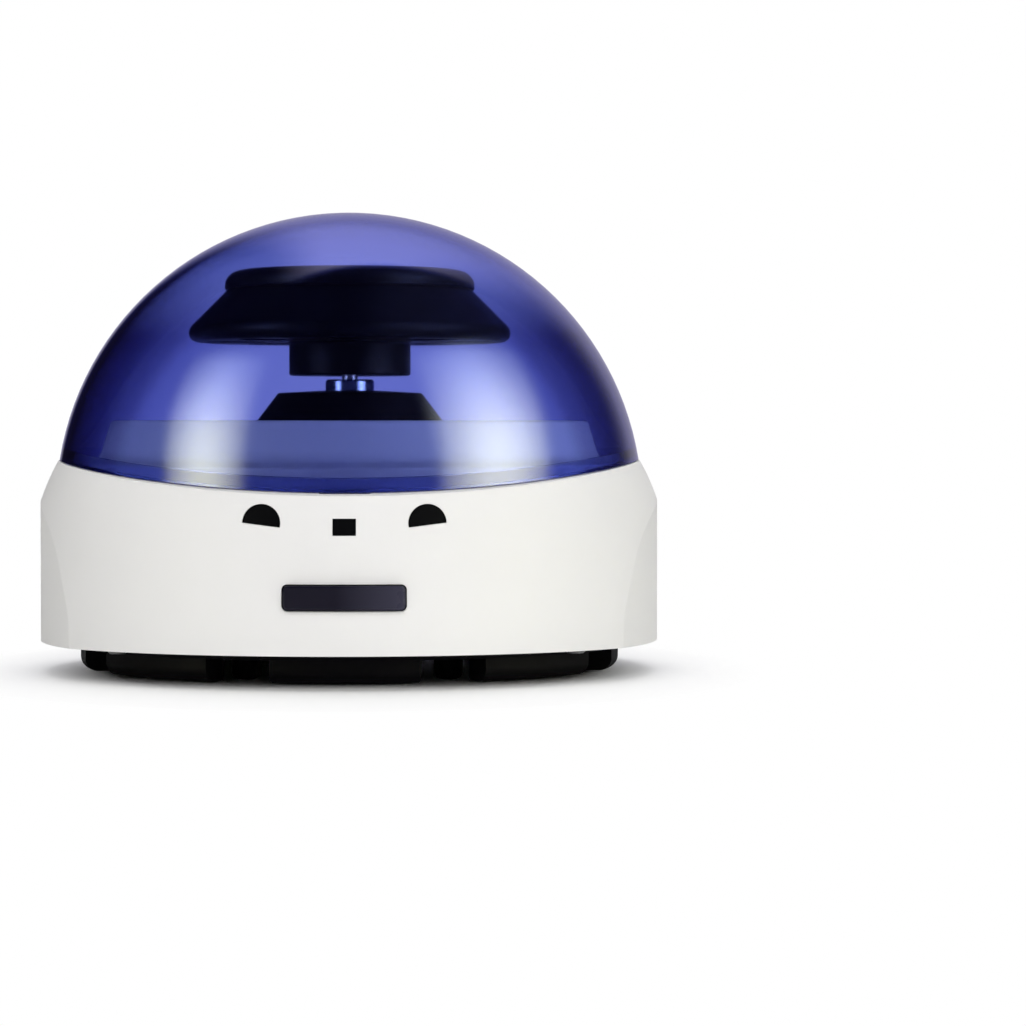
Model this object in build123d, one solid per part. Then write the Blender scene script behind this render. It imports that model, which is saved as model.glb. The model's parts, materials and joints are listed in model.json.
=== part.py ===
from build123d import *
import math
import os

# Mini centrifuge for eight small tubes: a round bench instrument with a see-through dome lid.
# Millimetres. The origin is on the bench below the rotor's axis, +Z is up and -Y is the front.

# General fits and gaps
MOVING_GAP = 0.3
SEAT_GAP = 0.1
PIN_CLEARANCE = 0.06
FIXED_CLEARANCE = 0.03
EDGE_BREAK = 0.5
FAR = 200.0

# Housing shell: how far it stands out from the lid, and how much its two sides are cut flat
LID_INSET = 8.2
SIDE_CUT = 4.5
SIDE_RADIUS = 111.0
SHELL_WALL = 2.5
SHELL_BOTTOM_Z = 7.8
SHELL_UPRIGHT_HEIGHT = 4.2
# How far the side has come in, and how far below the parting line's crest it has
SHELL_SHOULDER = ((0.8, 29.7), (2.0, 19.5), (5.3, 8.0))
SHELL_TOP_SLOPE = (-0.65, 1.0)

# Parting line of shell and lid, an arc in side view that is highest behind the rotor's axis
SEAM_CREST_Z = 53.1
SEAM_CREST_Y = 13.6
SEAM_RADIUS = 505.0
FLANGE_THICKNESS = 2.5

# Lid, part of a hollow ball with a thicker rim
LID_CENTRE_DROP = 11.9
LID_HEADROOM = 4.92
LID_WALL = 2.0
LID_RIM_HEIGHT = 3.0
LID_RIM_THICKNESS = 3.6

# Liner of the rotor chamber
LINER_CLEARANCE = 0.7
LINER_LEDGE_WIDTH = 9.5
LINER_WALL = 1.8
LINER_WALL_FOOT = 3.0
LINER_WALL_DRAFT = 0.7
LINER_LEDGE_DROP = 1.6
LINER_LEDGE_FALL = 1.5
LINER_DRUM_HEIGHT = 11.0
LINER_SKIRT_HEIGHT = 7.5
LINER_SEAT_THICKNESS = 2.0
LINER_SEAT_LAP = 2.0
DECK_DROP = 2.0
DECK_THICKNESS = 2.0
DECK_HOLE_RADIUS = 8.0

# Hinge at the back
HINGE_INSET = 2.6
HINGE_DROP = 2.1
KNUCKLE_RADIUS = 4.0
KNUCKLE_HALF_WIDTH = 14.0
HINGE_LUG_WIDTH = 5.6
HINGE_LUG_HEIGHT = 12.0
HINGE_PIN_RADIUS = 1.5
HINGE_PIN_END = 0.4
HINGE_ARM_HEIGHT = 5.5
HINGE_STOP_RADIUS = 6.0
HINGE_STOP_START = 50.0
HINGE_STOP_END = 80.0
HINGE_STOP_BLOCK_HEIGHT = 4.2
HINGE_STOP_BLOCK_REACH = 3.5
HINGE_STOP_GAP = 0.5

# Latch and release button at the front
BUTTON_WIDTH = 28.6
BUTTON_HEIGHT = 5.7
BUTTON_CORNER = 1.2
BUTTON_Z = 21.4
BUTTON_PROUD = 1.4
BUTTON_EDGE = 0.5
BUTTON_FLANGE_LAP = 1.7
BUTTON_FLANGE_THICKNESS = 1.5
BUTTON_FLANGE_GAP = 1.5
BUTTON_STEM_RADIUS = 2.0
BUTTON_STEM_SPREAD = 9.0
RELEASE_TRAVEL = 2.5
HOOK_WIDTH = 10.0
HOOK_THICKNESS = 2.0
HOOK_REACH = 2.8
HOOK_BARB_DROP = 17.1
HOOK_BARB_DEPTH = 0.9
HOOK_TIP_LENGTH = 3.5
HOOK_SWING = 1.6
HOOK_SIDE_GAP = 1.0
CATCH_LAP = 1.5
CATCH_THICKNESS = 2.9
CATCH_HEIGHT = 3.7
SLIDER_GAP = 0.6
SLIDER_SIDE_GAP = 3.0
SLIDER_ARM_WIDTH = 3.0
SLIDER_BAR_THICKNESS = 2.5
SLIDER_BAR_HEIGHT = 7.0
SLIDER_RUNNER_HEIGHT = 3.5
GUIDE_WALL = 2.0
GUIDE_CHEEK = 1.6
GUIDE_LAP = 1.5
SPRING_RADIUS = 3.0
SPRING_WALL = 0.6
SPRING_LENGTH = 8.5

# Dark windows in the front
WINDOW_SPREAD = 19.4
WINDOW_RADIUS = 4.5
WINDOW_DROP = 0.5
WINDOW_BELOW_CREST = 14.4
WINDOW_TILT = 7.0
INDICATOR_WIDTH = 5.5
INDICATOR_HEIGHT = 4.0
INDICATOR_BELOW_CREST = 15.3
WINDOW_RECESS = 0.3

# Rotor with eight slanted tube holes
TUBE_COUNT = 8
TUBE_HOLE_RADIUS = 5.5
TUBE_ANGLE = 45.0
TUBE_SEAT_RADIUS = 19.0
ROTOR_RADIUS = 40.5
ROTOR_NOSE = 2.2
ROTOR_CONE_HEIGHT = 13.1
ROTOR_LIP_RADIUS = 31.5
ROTOR_LIP_OVERHANG = 0.7
ROTOR_LIP_HEIGHT = 4.6
ROTOR_LIP_ROUND = 3.6
ROTOR_TOP_WIDTH = 4.5
ROTOR_PLATFORM_RADIUS = 13.0
HUB_RADIUS = 15.3
HUB_HEIGHT = 8.5
INSERT_RADIUS = 6.5
INSERT_HEIGHT = 11.7
INSERT_SETBACK = 0.3
INSERT_CAP = 1.5

# Drive below the rotor
SHAFT_RADIUS = 2.0
SHAFT_END_GAP = 0.5
COLLAR_RADIUS = 6.15
COLLAR_HEIGHT = 4.6
COLLAR_PROUD = 2.8
ROTOR_GAP = 1.0
MOTOR_RADIUS = 18.0
MOTOR_LENGTH = 40.0
MOTOR_EDGE = 1.5
MOTOR_CAP_HEIGHT = 3.0
MOTOR_CAP_INSET = 0.4
MOTOR_BOSS_RADIUS = 5.0
MOTOR_BOSS_HEIGHT = 3.0
MOTOR_BORE_DEPTH = 12.0
TERMINAL_SPREAD = 11.0
TERMINAL_WIDTH = 2.8
TERMINAL_THICKNESS = 0.8
TERMINAL_LENGTH = 2.7
MOTOR_PLATE_RADIUS = 30.0
MOTOR_PLATE_THICKNESS = 1.8
DAMPER_RADIUS = 4.5
DAMPER_WAIST = 3.8
DAMPER_HEIGHT = 2.2
DAMPER_COUNT = 3
DAMPER_EDGE_GAP = 1.0
COVER_BOTTOM_RADIUS = 23.5
COVER_TOP_RADIUS = 18.1
COVER_SKIRT = 2.0
COVER_HEIGHT = 9.1
COVER_CROWN = 0.6
COVER_WALL = 1.8
COVER_GAP = 0.5

# Base plate and feet
BASE_STEP_INSET = 14.0
BASE_UNDERSIDE_Z = 5.9
BASE_THICKNESS = 2.4
BASE_FIT = 0.3
BASE_RECESS = 0.5
PAD_COUNT = 8
PAD_ANGLE = 31.0
PAD_WIDTH = 8.0
PAD_SETBACK = 0.3
PAD_ROUND = 3.2
PAD_LAP = 1.0
PAD_BOTTOM_Z = 0.5
FOOT_RADIUS = 3.5
FOOT_ROUND = 1.8
FOOT_X = 24.5
FOOT_Y = 40.0
VENT_COUNT = 5
VENT_PITCH = 6.0
VENT_LENGTH = 18.0
VENT_WIDTH = 2.4
VENT_Y = 34.0
POST_RADIUS = 3.5
POST_INSET = 10.0
POST_ANGLES = (40.0, 140.0, 220.0, 320.0)
SCREW_RADIUS = 1.45
SCREW_LENGTH = 14.0
SCREW_HOLE_END_GAP = 0.7
SCREW_THREAD_GAP = 0.05
SCREW_PASS_GAP = 0.15
SCREW_HEAD_RADIUS = 2.8
SCREW_HEAD_HEIGHT = 1.8

# Rear panel with its power inlet and rocker switch
PANEL_INSET = 8.0
PANEL_HALF_WIDTH = 34.0
PANEL_HEIGHT = 22.0
JACK_X = 16.0
JACK_RADIUS = 5.6
JACK_FLANGE_RADIUS = 7.0
JACK_FLANGE = 2.0
JACK_LENGTH = 14.0
JACK_BORE_RADIUS = 2.8
JACK_BORE_DEPTH = 9.5
JACK_PIN_RADIUS = 1.05
JACK_PIN_SETBACK = 1.0
JACK_NUT_RADIUS = 7.6
JACK_NUT_THICKNESS = 2.2
ROCKER_X = -16.0
ROCKER_FRAME_PROUD = 2.0
ROCKER_FRAME_LAP = 1.2
ROCKER_BODY_DEPTH = 12.0
ROCKER_HALF_LENGTH = 8.1
ROCKER_HEIGHT = 11.2
ROCKER_CLEARANCE = 0.8
ROCKER_WALL = 0.4
ROCKER_PIVOT_DEPTH = 0.8
ROCKER_TILT = 10.0
ROCKER_END_THICKNESS = 3.2
ROCKER_MID_THICKNESS = 1.9
ROCKER_BELOW = 3.0
ROCKER_POCKET_GAP = 1.5
ROCKER_PIN_RADIUS = 1.2
ROCKER_PIN_LENGTH = 0.5
ROCKER_PIN_END_GAP = 0.2

# Circuit board inside
BOARD_WIDTH = 56.0
BOARD_DEPTH = 28.0
BOARD_THICKNESS = 1.6
BOARD_GAP = 8.0
BOARD_STANDOFF = 4.0
BOARD_POST_RADIUS = 2.5
BOARD_POST_INSET = 4.0
CAPACITOR_RADIUS = 5.0
CAPACITOR_HEIGHT = 16.0
CAPACITOR_EDGE = 0.8
REGULATOR_WIDTH = 15.0
REGULATOR_DEPTH = 6.0
REGULATOR_HEIGHT = 12.0
REGULATOR_FOOT = 3.0
REGULATOR_BACK = 2.0
FIN_GAP_COUNT = 4
FIN_GAP = 1.8
FIN_THICKNESS = 1.3
SENSOR_WIDTH = 6.0
SENSOR_THICKNESS = 1.0
SENSOR_HEIGHT = 5.5
MAGNET_RADIUS = 1.6
MAGNET_THICKNESS = 1.0
MAGNET_HEIGHT = 4.0

# Heights, from the shell's parting line up to the rotor
LINER_LEDGE_Z = SEAM_CREST_Z - LINER_LEDGE_DROP
LINER_SKIRT_BOTTOM_Z = LINER_LEDGE_Z - LINER_SKIRT_HEIGHT
LINER_RIM_Z = LINER_LEDGE_Z + LINER_DRUM_HEIGHT
DECK_TOP_Z = LINER_RIM_Z - DECK_DROP
DECK_BOTTOM_Z = DECK_TOP_Z - DECK_THICKNESS
COVER_SHOULDER_Z = DECK_TOP_Z + COVER_HEIGHT
COVER_CROWN_Z = COVER_SHOULDER_Z + COVER_CROWN
COLLAR_TOP_Z = COVER_CROWN_Z + COLLAR_PROUD
HUB_BOTTOM_Z = COLLAR_TOP_Z + ROTOR_GAP
ROTOR_UNDERSIDE_Z = HUB_BOTTOM_Z + HUB_HEIGHT
ROTOR_LIP_Z = ROTOR_UNDERSIDE_Z + ROTOR_CONE_HEIGHT
ROTOR_TOP_Z = ROTOR_LIP_Z + ROTOR_LIP_HEIGHT
ROTOR_TOP_INNER_RADIUS = ROTOR_LIP_RADIUS - ROTOR_TOP_WIDTH
TUBE_SEAT_SLOPE = math.tan(math.radians(TUBE_ANGLE))
TUBE_SEAT_Z = ROTOR_TOP_Z - (ROTOR_TOP_INNER_RADIUS - TUBE_SEAT_RADIUS) * TUBE_SEAT_SLOPE
PLATFORM_Z = ROTOR_TOP_Z - (ROTOR_TOP_INNER_RADIUS - ROTOR_PLATFORM_RADIUS) * TUBE_SEAT_SLOPE
INSERT_BOTTOM_Z = HUB_BOTTOM_Z + INSERT_SETBACK
INSERT_TOP_Z = INSERT_BOTTOM_Z + INSERT_HEIGHT
MOTOR_PLATE_TOP_Z = DECK_BOTTOM_Z - DAMPER_HEIGHT
MOTOR_TOP_Z = MOTOR_PLATE_TOP_Z - MOTOR_PLATE_THICKNESS
MOTOR_BOTTOM_Z = MOTOR_TOP_Z - MOTOR_LENGTH
HINGE_Z = SEAM_CREST_Z - HINGE_DROP
HOOK_BARB_Z = SEAM_CREST_Z - HOOK_BARB_DROP
HOOK_TIP_Z = HOOK_BARB_Z - HOOK_TIP_LENGTH
WINDOW_Z = SEAM_CREST_Z - WINDOW_BELOW_CREST
INDICATOR_Z = SEAM_CREST_Z - INDICATOR_BELOW_CREST
BASE_FLOOR_Z = BASE_UNDERSIDE_Z + BASE_THICKNESS
BASE_RING_Z = SHELL_BOTTOM_Z + BASE_RECESS
BASE_RING_TOP_Z = BASE_RING_Z + BASE_THICKNESS
SHELL_UPRIGHT_Z = SHELL_BOTTOM_Z + SHELL_UPRIGHT_HEIGHT
PANEL_LOW_Z = BASE_RING_TOP_Z + SEAT_GAP + SHELL_WALL
PANEL_HIGH_Z = PANEL_LOW_Z + PANEL_HEIGHT
PANEL_CENTRE_Z = (PANEL_LOW_Z + PANEL_HIGH_Z) / 2
BOARD_Z = BASE_FLOOR_Z + BOARD_STANDOFF

# Radii, from the rotor out to the lid that clears it and the shell that carries the lid
LID_CENTRE_Z = SEAM_CREST_Z - LID_CENTRE_DROP
LID_RADIUS = math.hypot(ROTOR_LIP_RADIUS, ROTOR_TOP_Z - LID_CENTRE_Z) + LID_HEADROOM + LID_WALL
LID_RIM_INNER_RADIUS = LID_RADIUS - LID_RIM_THICKNESS
LINER_SKIRT_RADIUS = LID_RIM_INNER_RADIUS - LINER_CLEARANCE
LINER_RIM_RADIUS = LINER_SKIRT_RADIUS - LINER_LEDGE_WIDTH
FLANGE_INNER_RADIUS = LINER_SKIRT_RADIUS + SEAT_GAP
SHELL_SEAM_RADIUS = math.sqrt(LID_RADIUS**2 - LID_CENTRE_DROP**2)
BODY_RADIUS = LID_RADIUS + LID_INSET
BODY_WIDTH = 2 * (BODY_RADIUS - SIDE_CUT)
BASE_STEP_RADIUS = BODY_RADIUS - BASE_STEP_INSET
POST_CIRCLE_RADIUS = BODY_RADIUS - POST_INSET
BUTTON_FLANGE_RADIUS = BODY_RADIUS - SHELL_WALL - BUTTON_FLANGE_GAP
BUTTON_FACE_RADIUS = BODY_RADIUS + BUTTON_PROUD

# Places along Y: hinge and panel at the back, latch at the front
HINGE_Y = BODY_RADIUS - HINGE_INSET
PANEL_Y = BODY_RADIUS - PANEL_INSET
ROCKER_PIVOT_Y = PANEL_Y - ROCKER_PIVOT_DEPTH
BOARD_Y = PANEL_Y - JACK_LENGTH - BOARD_GAP - BOARD_DEPTH / 2
HOOK_FRONT_Y = -(LID_RIM_INNER_RADIUS + HOOK_THICKNESS + 2 * SEAT_GAP)
HOOK_BACK_Y = HOOK_FRONT_Y + HOOK_THICKNESS
BARB_TIP_Y = HOOK_BACK_Y + HOOK_REACH
CATCH_Y = BARB_TIP_Y - CATCH_LAP
CATCH_BOTTOM_Z = HOOK_BARB_Z + MOVING_GAP
SLIDER_FRONT_Y = HOOK_FRONT_Y - HOOK_THICKNESS - SLIDER_GAP
SLIDER_BACK_Y = SLIDER_FRONT_Y + SLIDER_BAR_THICKNESS
SLIDER_HALF_GAP = HOOK_WIDTH / 2 + SLIDER_SIDE_GAP
SPRING_SEAT_Y = SLIDER_BACK_Y + SPRING_LENGTH
SENSOR_BACK_Y = HOOK_FRONT_Y - HOOK_SWING - MOVING_GAP
ROCKER_FRAME_WIDTH = 2 * (ROCKER_HALF_LENGTH + ROCKER_CLEARANCE + ROCKER_WALL + ROCKER_FRAME_LAP)
ROCKER_FRAME_HEIGHT = ROCKER_HEIGHT + 2 * (MOVING_GAP + ROCKER_WALL + ROCKER_FRAME_LAP)


def face_of(points):
    """Flat face through points given as x, y and the corner's radius."""
    face = make_face(Polyline(*[(x, y) for x, y, _ in points], close=True))
    for x, y, radius in points:
        if radius:
            corner = face.vertices().sort_by_distance((x, y, 0))[0]
            face = fillet(corner, radius)
    return face


def turned(face):
    """Solid of revolution about the Z axis from a face drawn as radius and height."""
    return revolve(Plane.XZ * face, Axis.Z)


def ring(outer, inner, low, high):
    """Round tube about the Z axis between two heights."""
    tube = Cylinder(outer, high - low) - Cylinder(inner, high - low)
    return Pos(0, 0, (low + high) / 2) * tube


def disc(radius, low, high):
    """Round disc about the Z axis between two heights."""
    return Pos(0, 0, (low + high) / 2) * Cylinder(radius, high - low)


def block(x, y, z):
    """Box between two limits along each axis."""
    size = [limits[1] - limits[0] for limits in (x, y, z)]
    middle = [(limits[0] + limits[1]) / 2 for limits in (x, y, z)]
    return Pos(*middle) * Box(*size)


def across(face, low, high):
    """Solid from a face drawn as Y and Z, drawn out along X."""
    return Pos(low, 0, 0) * extrude(Plane.YZ * face, high - low)


def rod_x(radius, low, high, y, z):
    """Round rod along X."""
    return across(Pos(y, z) * Circle(radius), low, high)


def rod_y(radius, low, high, x, z):
    """Round rod along Y."""
    middle = Pos(x, (low + high) / 2, z)
    return middle * Rot(90, 0, 0) * Cylinder(radius, high - low)


def through_front(face):
    """Solid from a face drawn as X and Z, drawn out through the front half."""
    return extrude(Plane.XZ * face, FAR)


def shell_body(inset, bottom):
    """Round form of the shell, moved in by an inset and closed flat at the top."""
    radius = BODY_RADIUS - inset
    upright = (radius, SHELL_UPRIGHT_Z)
    shoulder = [(radius - drop, SEAM_CREST_Z - below) for drop, below in SHELL_SHOULDER]
    top = (SHELL_SEAM_RADIUS - inset, SEAM_CREST_Z)
    side = Spline(upright, *shoulder, top, tangents=((0, 1), SHELL_TOP_SLOPE))
    rest = Polyline(top, (0, SEAM_CREST_Z), (0, bottom), (radius, bottom), upright)
    return turned(make_face(side + rest))


def plan_body(inset):
    """Upright lens that flattens the two sides of the shell, moved in by an inset."""
    half = BODY_WIDTH / 2 - inset
    radius = SIDE_RADIUS - inset
    reach = math.sqrt(radius**2 - (radius - half) ** 2)
    right = ThreePointArc((0, -reach), (half, 0), (0, reach))
    left = ThreePointArc((0, reach), (-half, 0), (0, -reach))
    return extrude(make_face(right + left), FAR)


def below_seam(offset):
    """Everything below the parting line, which is moved up by an offset."""
    radius = SEAM_RADIUS + offset
    end_z = SEAM_CREST_Z - SEAM_RADIUS + math.sqrt(radius**2 - FAR**2)
    front, back = SEAM_CREST_Y - FAR, SEAM_CREST_Y + FAR
    crest = (SEAM_CREST_Y, SEAM_CREST_Z + offset)
    top = ThreePointArc((front, end_z), crest, (back, end_z))
    rest = Polyline((back, end_z), (back, -FAR), (front, -FAR), (front, end_z))
    return across(make_face(top + rest), -FAR, FAR)


def half_disc(side, gap):
    """Face of one dark window, a little over half a disc, with its inner end lower."""
    whole = Circle(WINDOW_RADIUS - gap)
    cut = Pos(0, -FAR / 2 - WINDOW_DROP + gap) * Rectangle(FAR, FAR)
    return Pos(side * WINDOW_SPREAD, WINDOW_Z) * Rot(0, 0, side * WINDOW_TILT) * (whole - cut)


def indicator_face(gap):
    """Face of the small square window in the middle of the front."""
    outline = Rectangle(INDICATOR_WIDTH - 2 * gap, INDICATOR_HEIGHT - 2 * gap)
    return Pos(0, INDICATOR_Z) * outline


def button_face(grow):
    """Rounded face of the release button, made larger all round."""
    width, height = BUTTON_WIDTH + 2 * grow, BUTTON_HEIGHT + 2 * grow
    return Pos(0, BUTTON_Z) * RectangleRounded(width, height, BUTTON_CORNER + grow / 2)


def hinge_lug(low):
    """One of the two lugs that carry the hinge pin."""
    eye = Pos(HINGE_Y, HINGE_Z) * Circle(KNUCKLE_RADIUS)
    tie = make_face(
        Polyline(
            (PANEL_Y - SHELL_WALL, HINGE_Z - HINGE_LUG_HEIGHT),
            (PANEL_Y - SHELL_WALL, HINGE_Z - KNUCKLE_RADIUS),
            (HINGE_Y - 0.8 * KNUCKLE_RADIUS, HINGE_Z + 0.6 * KNUCKLE_RADIUS),
            (HINGE_Y + 0.95 * KNUCKLE_RADIUS, HINGE_Z - 0.3 * KNUCKLE_RADIUS),
            (HINGE_Y - 0.475 * KNUCKLE_RADIUS, HINGE_Z - HINGE_LUG_HEIGHT),
            close=True,
        )
    )
    return across(eye + tie, low, low + HINGE_LUG_WIDTH)


def stop_block():
    """Shelf between the lugs that the lid's stop comes down on when the lid is open."""
    top = HINGE_Z - KNUCKLE_RADIUS - HINGE_STOP_GAP
    inner = (-KNUCKLE_HALF_WIDTH - MOVING_GAP, KNUCKLE_HALF_WIDTH + MOVING_GAP)
    deep = (PANEL_Y - SHELL_WALL, HINGE_Y + HINGE_STOP_BLOCK_REACH)
    return block(inner, deep, (top - HINGE_STOP_BLOCK_HEIGHT, top))


def upper_housing():
    """White shell with the flange the lid rests on, the rear panel and the hinge lugs."""
    outer = shell_body(0, SHELL_BOTTOM_Z) & plan_body(0) & below_seam(0)
    cavity = shell_body(SHELL_WALL, 0) & plan_body(SHELL_WALL) & below_seam(-FLANGE_THICKNESS)
    wide = PANEL_HALF_WIDTH + SHELL_WALL
    heights = (PANEL_LOW_Z - SHELL_WALL, PANEL_HIGH_Z + SHELL_WALL)
    panel = block((-wide, wide), (PANEL_Y - SHELL_WALL, FAR), heights) & outer
    lug_low = KNUCKLE_HALF_WIDTH + MOVING_GAP
    lugs = hinge_lug(lug_low) + hinge_lug(-lug_low - HINGE_LUG_WIDTH)
    shell = outer + lugs + stop_block() - cavity + panel
    shell -= block((-PANEL_HALF_WIDTH, PANEL_HALF_WIDTH), (PANEL_Y, FAR), (PANEL_LOW_Z, PANEL_HIGH_Z))
    shell += liner_seat() & outer
    for angle in POST_ANGLES:
        shell += screw_post(angle) & outer
    shell -= disc(FLANGE_INNER_RADIUS, LINER_SKIRT_BOTTOM_Z, FAR)
    shell -= hook_slot()
    for side in (-1, 1):
        shell -= through_front(half_disc(side, 0))
    shell -= through_front(indicator_face(0))
    shell -= through_front(button_face(MOVING_GAP))
    shell -= rod_y(JACK_RADIUS + SEAT_GAP, 0, FAR, JACK_X, PANEL_CENTRE_Z)
    shell -= block(*rocker_limits(SEAT_GAP), z=rocker_heights(SEAT_GAP))
    pin_hole = HINGE_PIN_RADIUS + FIXED_CLEARANCE
    shell -= rod_x(pin_hole, -FAR, FAR, HINGE_Y, HINGE_Z)
    screw_hole = disc(
        SCREW_RADIUS + SCREW_THREAD_GAP, 0, BASE_RING_Z + SCREW_LENGTH + SCREW_HOLE_END_GAP
    )
    for angle in POST_ANGLES:
        shell -= Rot(0, 0, angle) * Pos(POST_CIRCLE_RADIUS, 0, 0) * screw_hole
    return shell


def liner_seat():
    """Ledge inside the shell that carries the liner's skirt."""
    low = LINER_SKIRT_BOTTOM_Z - LINER_SEAT_THICKNESS
    return ring(FAR / 2, LINER_SKIRT_RADIUS - LINER_SEAT_LAP, low, LINER_SKIRT_BOTTOM_Z)


def screw_post(angle):
    """Hollow post for a base screw, tied to the shell by a web."""
    low, high = BASE_RING_TOP_Z, LINER_SKIRT_BOTTOM_Z
    round_post = Pos(POST_CIRCLE_RADIUS, 0, 0) * disc(POST_RADIUS, low, high)
    reach = (POST_CIRCLE_RADIUS, BODY_RADIUS)
    web = block(reach, (-SHELL_WALL / 2, SHELL_WALL / 2), (low, high))
    return Rot(0, 0, angle) * (round_post + web)


def hook_slot():
    """Slot in the flange that the lid's hook drops through."""
    half = HOOK_WIDTH / 2 + HOOK_SIDE_GAP
    deep = (HOOK_FRONT_Y - HOOK_SWING, -LINER_SKIRT_RADIUS + 2 * LINER_SEAT_LAP)
    return block((-half, half), deep, (LINER_SKIRT_BOTTOM_Z - LINER_SEAT_THICKNESS, FAR))


def rocker_limits(gap):
    """X and Y limits of the switch body behind the rear panel."""
    half = ROCKER_FRAME_WIDTH / 2 - ROCKER_FRAME_LAP + gap
    return (ROCKER_X - half, ROCKER_X + half), (PANEL_Y - ROCKER_BODY_DEPTH, PANEL_Y)


def rocker_heights(gap):
    """Z limits of the switch body behind the rear panel."""
    half = ROCKER_FRAME_HEIGHT / 2 - ROCKER_FRAME_LAP + gap
    return (PANEL_CENTRE_Z - half, PANEL_CENTRE_Z + half)


def front_insert(face):
    """Dark insert that fills a window in the shell's wall and stands back a little."""
    outer = shell_body(WINDOW_RECESS, SHELL_BOTTOM_Z)
    inner = shell_body(SHELL_WALL, SHELL_BOTTOM_Z)
    return through_front(face) & (outer - inner)


def chamber_liner():
    """White drum under the rotor: deck, low wall, ledge and skirt."""
    rim, skirt = LINER_RIM_RADIUS, LINER_SKIRT_RADIUS
    foot = rim + LINER_WALL_FOOT
    ledge_inner_z = LINER_LEDGE_Z + LINER_LEDGE_FALL
    face = face_of(
        (
            (rim, LINER_RIM_Z, 0.8),
            (foot, ledge_inner_z, 4.0),
            (skirt, LINER_LEDGE_Z, 0.8),
            (skirt, LINER_SKIRT_BOTTOM_Z, 0),
            (skirt - LINER_WALL, LINER_SKIRT_BOTTOM_Z, 0),
            (skirt - LINER_WALL, LINER_LEDGE_Z - LINER_WALL, 0),
            (foot - LINER_WALL, ledge_inner_z - LINER_WALL, 0),
            (rim - LINER_WALL, DECK_BOTTOM_Z, 0),
            (DECK_HOLE_RADIUS, DECK_BOTTOM_Z, 0),
            (DECK_HOLE_RADIUS, DECK_TOP_Z, 0),
            (rim - LINER_WALL - LINER_WALL_DRAFT, DECK_TOP_Z, 0),
            (rim - LINER_WALL, LINER_RIM_Z, 0.5),
        )
    )
    return turned(face)


def motor_cover():
    """Black cone over the motor's nose, open in the middle for the collar."""
    hole = COLLAR_RADIUS + COVER_GAP
    step_z = DECK_TOP_Z + COVER_SKIRT
    inner_top = COVER_SHOULDER_Z - COVER_WALL
    face = face_of(
        (
            (COVER_BOTTOM_RADIUS, DECK_TOP_Z, 0),
            (COVER_BOTTOM_RADIUS, step_z, 1.0),
            (COVER_TOP_RADIUS, COVER_SHOULDER_Z, 0.8),
            (hole, COVER_CROWN_Z, 0.3),
            (hole, inner_top, 0),
            (COVER_TOP_RADIUS - COVER_WALL, inner_top, 0),
            (COVER_BOTTOM_RADIUS - COVER_WALL, step_z, 0),
            (COVER_BOTTOM_RADIUS - COVER_WALL, DECK_TOP_Z, 0),
        )
    )
    return turned(face)


def base_plate():
    """Black base with its eight ring pads, vents, board posts and screw holes."""
    ring_radius = BODY_RADIUS - SHELL_WALL - BASE_FIT
    step_inner = BASE_STEP_RADIUS - BASE_THICKNESS
    face = face_of(
        (
            (0, BASE_UNDERSIDE_Z, 0),
            (BASE_STEP_RADIUS, BASE_UNDERSIDE_Z, 0.8),
            (BASE_STEP_RADIUS, BASE_RING_Z, 0),
            (ring_radius, BASE_RING_Z, 0),
            (ring_radius, BASE_RING_TOP_Z, 0),
            (step_inner, BASE_RING_TOP_Z, 0),
            (step_inner, BASE_FLOOR_Z, 0),
            (0, BASE_FLOOR_Z, 0),
        )
    )
    plate = turned(face) & plan_body(SHELL_WALL + BASE_FIT)
    plate += ring_pads()
    for side in (-1, 1):
        for number in range(VENT_COUNT):
            x = (number - (VENT_COUNT - 1) / 2) * VENT_PITCH
            slot = Rot(0, 0, 90) * SlotOverall(VENT_LENGTH, VENT_WIDTH)
            plate -= Pos(x, side * VENT_Y, 0) * extrude(slot, BASE_FLOOR_Z)
    for x in (-1, 1):
        for y in (-1, 1):
            place = Pos(x * (BOARD_WIDTH / 2 - BOARD_POST_INSET), BOARD_Y, 0)
            place *= Pos(0, y * (BOARD_DEPTH / 2 - BOARD_POST_INSET), 0)
            plate += place * disc(BOARD_POST_RADIUS, BASE_FLOOR_Z, BOARD_Z)
    for angle in POST_ANGLES:
        hole = disc(SCREW_RADIUS + SCREW_PASS_GAP, BASE_RING_Z, BASE_RING_TOP_Z)
        plate -= Rot(0, 0, angle) * Pos(POST_CIRCLE_RADIUS, 0, 0) * hole
    return plate


def ring_pads():
    """Curved pads of the base's broken lower ring, one of them at the middle of the front."""
    outer = BASE_STEP_RADIUS - PAD_SETBACK
    inner = outer - PAD_WIDTH
    face = face_of(
        (
            (inner, PAD_BOTTOM_Z, 1.0),
            (outer, PAD_BOTTOM_Z, PAD_ROUND),
            (outer, BASE_UNDERSIDE_Z + PAD_LAP, 0),
            (inner, BASE_UNDERSIDE_Z + PAD_LAP, 0),
        )
    )
    pads = turned(face)
    half_gap = math.radians(180 / PAD_COUNT - PAD_ANGLE / 2)
    side = (FAR, FAR * math.tan(half_gap))
    wedge = make_face(Polyline((0, 0), side, (side[0], -side[1]), close=True))
    for number in range(PAD_COUNT):
        turn = (number + 0.5) * 360 / PAD_COUNT - 90
        pads -= Rot(0, 0, turn) * extrude(wedge, FAR / 2)
    return pads


def rubber_foot(x, y):
    """Round rubber foot under the base."""
    foot = disc(FOOT_RADIUS, 0, BASE_UNDERSIDE_Z)
    return Pos(x, y, 0) * fillet(foot.edges().sort_by(Axis.Z)[0], FOOT_ROUND)


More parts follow.
